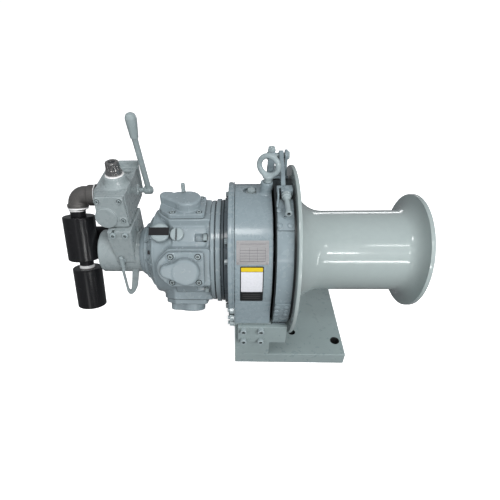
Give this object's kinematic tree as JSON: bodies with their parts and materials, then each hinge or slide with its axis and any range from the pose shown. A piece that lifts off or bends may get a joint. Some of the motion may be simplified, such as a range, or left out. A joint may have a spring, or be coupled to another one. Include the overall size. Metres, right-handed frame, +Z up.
{
  "type": "mooring winch",
  "caption": "Compact deck winch: smooth flanged drum with an external band brake, round gear housing on a flat base, radial air motor, lever-operated valve and exhaust mufflers.",
  "frame": {"origin": "centre of the base plate's underside", "axes": "+X along the drum axis towards the drum's outer end, +Y to the rear (away from the label side), +Z up"},
  "size_m": [0.9734, 0.4608, 0.6385],
  "materials": {
    "machine_paint": "glossy sea-grey machine enamel",
    "drum_paint": "high-gloss light grey-green enamel",
    "raw_steel": "turned steel",
    "black_steel": "glossy black",
    "dark_iron": "bare malleable iron",
    "plated_steel": "plated steel",
    "plate_metal": "brushed",
    "label_film": "printed film, plain colour blocks"
  },
  "bodies": {
    "root": {"adapter_flange": "machine_paint", "adapter_ring": "machine_paint", "band_plates": "machine_paint", "base_plate": "machine_paint", "brake_anchor_front": "machine_paint", "brake_anchor_rear": "machine_paint", "brake_band_front": "machine_paint", "brake_band_rear": "machine_paint", "brake_clevis": "machine_paint", "brake_fork": "machine_paint", "brake_link": "machine_paint", "brake_screw": "machine_paint", "clamp_bar_front": "machine_paint", "clamp_bar_rear": "machine_paint", "cylinder_head_1": "machine_paint", "cylinder_head_2": "machine_paint", "cylinder_head_3": "machine_paint", "cylinder_head_4": "machine_paint", "cylinder_head_5": "machine_paint", "drain_cock": "machine_paint", "exhaust_elbow_lower": "black_steel", "exhaust_elbow_upper": "dark_iron", "exhaust_nipples": "black_steel", "eyebolt_boss": "machine_paint", "fork_pin": "machine_paint", "gear_housing": "machine_paint", "housing_flange": "machine_paint", "housing_plug": "machine_paint", "inlet_fitting": "plated_steel", "label_plate": "label_film", "level_plug": "machine_paint", "lever_pivot": "machine_paint", "lifting_eyebolt": "machine_paint", "loop_bracket": "machine_paint", "motor_case": "machine_paint", "motor_end_cover": "machine_paint", "motor_stud": "machine_paint", "muffler_lower": "black_steel", "muffler_upper": "black_steel", "name_plate": "plate_metal", "oil_cap": "machine_paint", "pedestal_front": "machine_paint", "pedestal_rear": "machine_paint", "valve_body": "machine_paint", "valve_bonnet": "machine_paint", "valve_cover": "machine_paint", "valve_neck": "machine_paint"},
    "drum": {"brake_rim": "raw_steel", "drum": "drum_paint", "drum_end_cover": "drum_paint", "main_shaft": "raw_steel"},
    "lever": {"lever_grip": "machine_paint", "lever_shank": "machine_paint"}
  },
  "joints": [
    {"name": "drum_spin", "type": "hinge", "parent": "root", "child": "drum", "pos_m": [0, 0, 0.28], "axis": [1, 0, 0], "continuous": true},
    {"name": "valve_lever", "type": "hinge", "parent": "root", "child": "lever", "pos_m": [-0.4025, 0.092, 0.422], "axis": [1, 0, 0], "range_deg": [-25, 25]}
  ]
}
